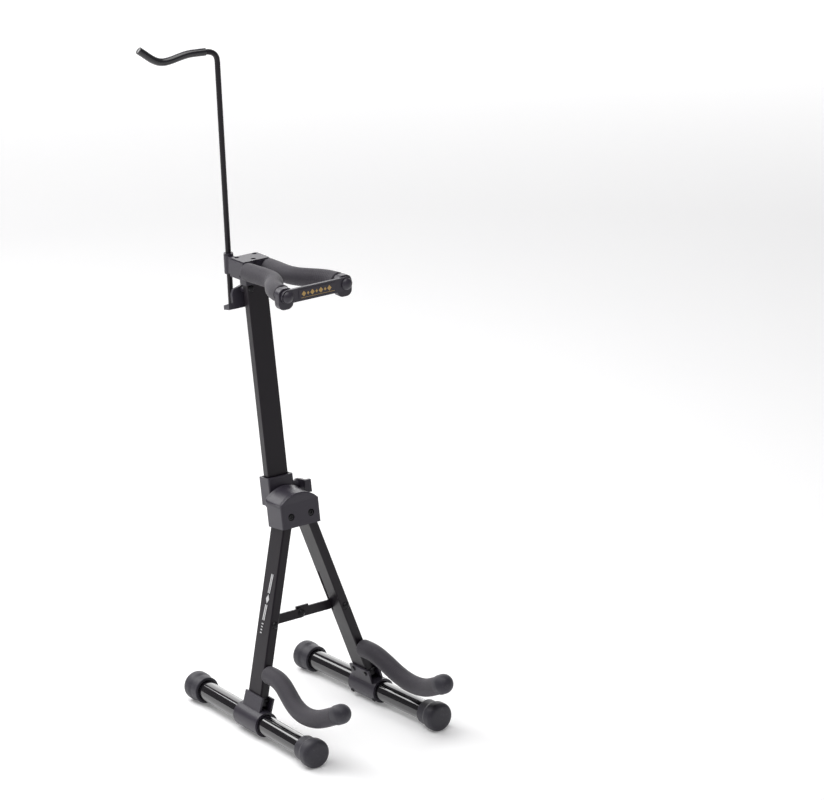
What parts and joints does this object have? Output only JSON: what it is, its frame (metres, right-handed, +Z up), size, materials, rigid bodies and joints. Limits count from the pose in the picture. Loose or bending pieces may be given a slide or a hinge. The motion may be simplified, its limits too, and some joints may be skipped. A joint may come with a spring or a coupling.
{
  "type": "folding instrument stand",
  "caption": "Folding A-frame stand for a small string instrument, with padded cradles, a gated neck yoke on a telescoping mast and a swivelling bow hook.",
  "frame": {"origin": "on the floor, under the middle of the bounding box", "axes": "+Z up, -Y to the front where the instrument hangs, +X to the right seen from the front"},
  "size_m": [0.2304, 0.3422, 0.8569],
  "materials": {
    "satin_metal": "satin black powder coat",
    "gloss_metal": "gloss black",
    "moulded": "moulded, fine texture",
    "rubber": "smooth matt",
    "foam": "closed-cell foam skin",
    "vinyl": "glossy dipped coating",
    "steel": "bright",
    "bolt_black": "black oxide",
    "badge_gold": "printed foil"
  },
  "bodies": {
    "pivot": {"pivot_housing": "moulded", "pivot_cover": "moulded", "hinge_bolt_left": "bolt_black", "hinge_bolt_right": "bolt_black", "mast_liner": "moulded"},
    "collar_lever": {"collar_lever": "moulded", "collar_lever_screw": "bolt_black"},
    "mast": {"mast_tube": "satin_metal", "mast_plug": "moulded", "head_bolt": "bolt_black", "head_block": "moulded", "head_screw_1": "bolt_black", "head_screw_2": "bolt_black", "head_screw_3": "bolt_black", "head_pin": "bolt_black", "yoke_rod_left": "steel", "yoke_rod_right": "steel", "yoke_foam_left": "foam", "yoke_foam_right": "foam", "yoke_end_left": "moulded", "yoke_end_right": "moulded", "gate_bolt_left": "moulded", "gate_bolt_right": "moulded"},
    "head_lever": {"head_lever": "moulded"},
    "gate": {"gate_bar": "moulded", "gate_badge": "badge_gold"},
    "swivel": {"rod_bushing": "moulded"},
    "bow_hook": {"bow_rod": "satin_metal", "hook_sleeve": "vinyl"},
    "leg_left": {"leg_tube_left": "satin_metal", "brace_bolt_left": "bolt_black", "cradle_rod_left": "steel", "cradle_foam_left": "foam", "cradle_tip_left": "rubber", "foot_tube_left": "gloss_metal", "foot_cap_front_left": "rubber", "foot_cap_rear_left": "rubber", "bracket_outer_left": "moulded", "bracket_inner_left": "moulded", "bracket_rivet_left_1": "bolt_black", "bracket_rivet_left_2": "bolt_black", "bracket_screw_left_1": "bolt_black", "bracket_screw_left_2": "bolt_black"},
    "leg_right": {"leg_tube_right": "satin_metal", "brace_bolt_right": "bolt_black", "cradle_rod_right": "steel", "cradle_foam_right": "foam", "cradle_tip_right": "rubber", "foot_tube_right": "gloss_metal", "foot_cap_front_right": "rubber", "foot_cap_rear_right": "rubber", "bracket_outer_right": "moulded", "bracket_inner_right": "moulded", "bracket_rivet_right_1": "bolt_black", "bracket_rivet_right_2": "bolt_black", "bracket_screw_right_1": "bolt_black", "bracket_screw_right_2": "bolt_black"},
    "brace_left": {"brace_link_left": "satin_metal", "brace_pin": "bolt_black"},
    "brace_right": {"brace_link_right": "satin_metal"}
  },
  "joints": [
    {"name": "leg_fold", "type": "hinge", "parent": "pivot", "child": "leg_left", "pos_m": [-0.01039, 0.04844, 0.26325], "axis": [0, -0.9938, 0.1113], "range_deg": [0, 15.53]},
    {"name": "leg_fold_right", "type": "hinge", "parent": "pivot", "child": "leg_right", "pos_m": [0.01911, 0.04844, 0.26325], "axis": [0, 0.9938, -0.1113], "range_deg": [0, 15.53]},
    {"name": "brace_fold_left", "type": "hinge", "parent": "leg_left", "child": "brace_left", "pos_m": [-0.04916, 0.03382, 0.13266], "axis": [0, -0.9938, 0.1113], "range_deg": [0, 56.04]},
    {"name": "brace_fold_right", "type": "hinge", "parent": "leg_right", "child": "brace_right", "pos_m": [0.05788, 0.03382, 0.13266], "axis": [0, 0.9938, -0.1113], "range_deg": [0, 56.04]},
    {"name": "mast_slide", "type": "slide", "parent": "pivot", "child": "mast", "axis": [0, 0.1113, 0.9938], "range_m": [-0.2343, 0]},
    {"name": "collar_lever_turn", "type": "hinge", "parent": "pivot", "child": "collar_lever", "pos_m": [0.02611, 0.08204, 0.28514], "axis": [1, 0, 0], "continuous": true},
    {"name": "head_lever_turn", "type": "hinge", "parent": "mast", "child": "head_lever", "pos_m": [-0.00594, 0.11684, 0.54061], "axis": [0, 0.9938, -0.1113], "range_deg": [-90, 75]},
    {"name": "gate_lift", "type": "hinge", "parent": "mast", "child": "gate", "pos_m": [0.04696, -0.02596, 0.5699], "axis": [0, 1, 0], "range_deg": [0, 100]},
    {"name": "rod_swivel", "type": "hinge", "parent": "mast", "child": "swivel", "pos_m": [-0.00824, 0.15014, 0.5794], "axis": [-0.0244, -0.0272, 0.9993], "continuous": true},
    {"name": "rod_slide", "type": "slide", "parent": "swivel", "child": "bow_hook", "axis": [-0.0244, -0.0272, 0.9993], "range_m": [-0.24, 0]}
  ],
  "couplings": [
    {"joint": "leg_fold_right", "follows": "leg_fold", "ratio": 1},
    {"joint": "brace_fold_left", "follows": "leg_fold", "ratio": 3.6081},
    {"joint": "brace_fold_right", "follows": "leg_fold", "ratio": 3.6081}
  ]
}
